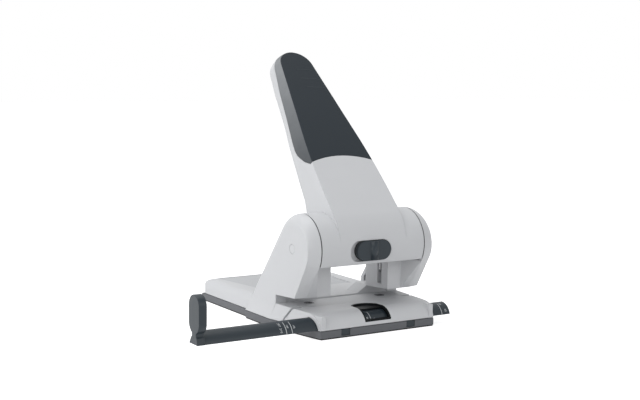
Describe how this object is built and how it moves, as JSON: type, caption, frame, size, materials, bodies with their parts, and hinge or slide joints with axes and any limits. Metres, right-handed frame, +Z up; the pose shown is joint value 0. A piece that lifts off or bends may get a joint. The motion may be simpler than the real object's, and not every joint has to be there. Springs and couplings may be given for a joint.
{
  "type": "two-hole lever punch",
  "caption": "Free-standing two-hole punch with a long raised lever on a barrel hinge, sliding paper ruler, lever lock and a hinged chip tray.",
  "frame": {"origin": "on the surface that the punch stands on, under the rubber mat, midway between the two punch pins", "axes": "+X to the right along the axle, +Y to the rear, away from the paper side, +Z up"},
  "size_m": [0.2675, 0.2153, 0.255],
  "materials": {
    "light_plastic": "satin light grey moulded plastic",
    "panel_plastic": "matt grey panel",
    "dark_plastic": "satin charcoal plastic",
    "black_plastic": "matt black plastic",
    "tray_plastic": "matt mid grey plastic",
    "soft_grip": "satin charcoal soft grip",
    "mat_rubber": "black rubber",
    "steel": "bright steel"
  },
  "bodies": {
    "base": {"base_plate": "steel", "die_bar": "steel", "left_die": "steel", "right_die": "steel", "throat_plate": "light_plastic", "table_cover": "light_plastic", "tail_cover": "light_plastic", "tail_panel": "panel_plastic", "left_side_cover": "light_plastic", "right_side_cover": "light_plastic", "left_side_plate": "steel", "right_side_plate": "steel", "left_tower": "light_plastic", "right_tower": "light_plastic", "left_sleeve": "steel", "right_sleeve": "steel", "left_spring": "steel", "right_spring": "steel", "axle": "steel", "left_axle_cap": "light_plastic", "right_axle_cap": "light_plastic", "window_frame": "black_plastic", "left_ruler_guide": "tray_plastic", "right_ruler_guide": "tray_plastic", "ruler_detent": "steel", "left_hinge_pin": "steel", "right_hinge_pin": "steel", "front_left_screw": "steel", "front_right_screw": "steel", "rear_left_screw": "steel", "rear_right_screw": "steel"},
    "lever": {"lever_shell": "light_plastic", "lever_core": "steel", "grip_pad": "soft_grip", "left_cam": "steel", "right_cam": "steel", "slider_pan": "light_plastic", "lower_grip_screw": "steel", "upper_grip_screw": "steel"},
    "lock": {"lock_knob": "dark_plastic", "lock_bolt": "steel"},
    "left_pin": {"left_pin": "steel", "left_pin_head": "steel"},
    "right_pin": {"right_pin": "steel", "right_pin_head": "steel"},
    "ruler": {"ruler_bar": "dark_plastic", "ruler_paddle": "dark_plastic"},
    "tray": {"chip_tray": "tray_plastic", "rubber_mat": "mat_rubber", "left_clip": "dark_plastic", "right_clip": "dark_plastic"}
  },
  "joints": [
    {"name": "lever_hinge", "type": "hinge", "parent": "base", "child": "lever", "pos_m": [0, -0.0168, 0.0771], "axis": [-1, 0, 0], "range_deg": [0, 45], "stiffness_Nm_per_rad": 1.2, "springref_deg": -34.38},
    {"name": "left_pin_slide", "type": "slide", "parent": "base", "child": "left_pin", "axis": [0, 0, -1], "range_m": [0, 0.01377], "deforming": ["left_spring"]},
    {"name": "right_pin_slide", "type": "slide", "parent": "base", "child": "right_pin", "axis": [0, 0, -1], "range_m": [0, 0.01377], "deforming": ["right_spring"]},
    {"name": "lock_slide", "type": "slide", "parent": "lever", "child": "lock", "axis": [-1, 0, 0], "range_m": [0, 0.0066]},
    {"name": "ruler_slide", "type": "slide", "parent": "base", "child": "ruler", "axis": [-1, 0, 0], "range_m": [-0.1, 0.04]},
    {"name": "tray_hinge", "type": "hinge", "parent": "base", "child": "tray", "pos_m": [0, 0.1562, 0.006], "axis": [1, 0, 0], "range_deg": [0, 50]}
  ],
  "couplings": [
    {"joint": "left_pin_slide", "follows": "lever_hinge", "m_per_rad": 0.017524},
    {"joint": "right_pin_slide", "follows": "lever_hinge", "m_per_rad": 0.017524}
  ]
}
